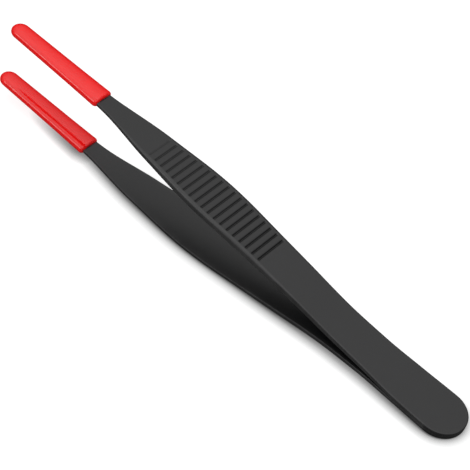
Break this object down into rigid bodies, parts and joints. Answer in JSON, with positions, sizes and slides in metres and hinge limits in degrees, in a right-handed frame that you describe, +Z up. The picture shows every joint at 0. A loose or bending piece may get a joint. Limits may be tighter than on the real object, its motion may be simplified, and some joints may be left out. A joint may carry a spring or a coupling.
{
  "type": "rubber-tipped tweezers",
  "caption": "Black spring-steel tweezers with bowed legs, ribbed finger grips, a rounded welded heel and soft red sleeves over the straight blunt tips.",
  "frame": {"origin": "on the resting surface, under the middle of the tweezers' outline", "axes": "+X along the tweezers from the heel to the tips, +Y across the width of the legs, +Z up, the way the legs open"},
  "size_m": [0.1258, 0.0112, 0.02],
  "materials": {
    "black_steel": "satin black coating",
    "red_vinyl": "glossy soft vinyl"
  },
  "bodies": {
    "root": {"upper_leg": "black_steel", "lower_leg": "black_steel", "upper_tip_sleeve": "red_vinyl", "lower_tip_sleeve": "red_vinyl"}
  },
  "joints": []
}
